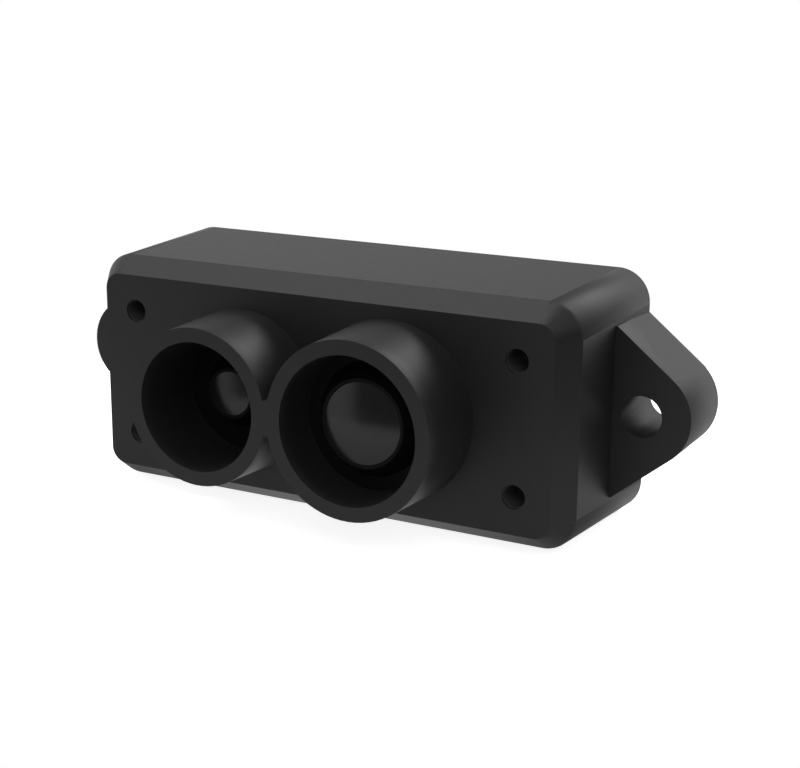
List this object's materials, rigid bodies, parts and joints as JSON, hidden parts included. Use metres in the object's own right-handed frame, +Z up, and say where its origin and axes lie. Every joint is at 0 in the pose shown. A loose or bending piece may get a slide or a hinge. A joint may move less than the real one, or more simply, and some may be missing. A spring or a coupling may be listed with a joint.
{
  "type": "lidar distance sensor",
  "caption": "Compact lidar distance sensor in a black moulded housing, with two hooded lenses in front, a mounting ear at each end and a circuit board in its open back.",
  "frame": {"origin": "midway between the two ear holes, on the rear plane of the ears and of the housing's rim", "axes": "+X from the emitter's hood to the receiver's hood, +Y to the rear along the ear holes, +Z up; the lenses look along -Y"},
  "size_m": [0.042, 0.016, 0.015],
  "materials": {
    "housing_plastic": "fine matte moulded surface",
    "lens_plastic": "polished, dark to visible light",
    "holder_plastic": "matte, light absorbing",
    "filter_glass": "coated optical glass",
    "sensor_package": "moulded package with a sunk window",
    "diode_package": "ceramic base with a clear dome",
    "seal_foam": "fine closed-cell foam",
    "board_laminate": "green solder mask over copper",
    "screw_steel": "zinc plated",
    "socket_plastic": "natural nylon",
    "contact_metal": "plated",
    "lead_metal": "tinned",
    "chip_epoxy": "moulded epoxy",
    "inductor_ferrite": "sintered ferrite",
    "tank_epoxy": "moulded epoxy with a polarity band",
    "crystal_metal": "seam-welded lid",
    "capacitor_ceramic": "fired ceramic",
    "resistor_glaze": "glazed"
  },
  "bodies": {
    "root": {"housing": "housing_plastic", "receiver_lens": "lens_plastic", "emitter_lens": "lens_plastic", "receiver_lens_holder": "holder_plastic", "emitter_lens_holder": "holder_plastic", "receiver_filter": "filter_glass", "receiver_sensor": "sensor_package", "emitter_diode": "diode_package", "light_seal_strip": "seal_foam", "main_board": "board_laminate", "board_screw_1": "screw_steel", "board_screw_2": "screw_steel", "board_screw_3": "screw_steel", "board_screw_4": "screw_steel", "cable_socket": "socket_plastic", "socket_contacts": "contact_metal", "socket_anchor_tabs": "lead_metal", "processor_chip": "chip_epoxy", "processor_leads": "lead_metal", "driver_chip": "chip_epoxy", "driver_leads": "lead_metal", "voltage_regulator": "chip_epoxy", "regulator_leads": "lead_metal", "power_inductor": "inductor_ferrite", "supply_capacitor": "tank_epoxy", "supply_capacitor_tabs": "lead_metal", "crystal_can": "crystal_metal", "ceramic_capacitors": "capacitor_ceramic", "chip_resistors": "resistor_glaze", "chip_terminals": "lead_metal"}
  },
  "joints": []
}
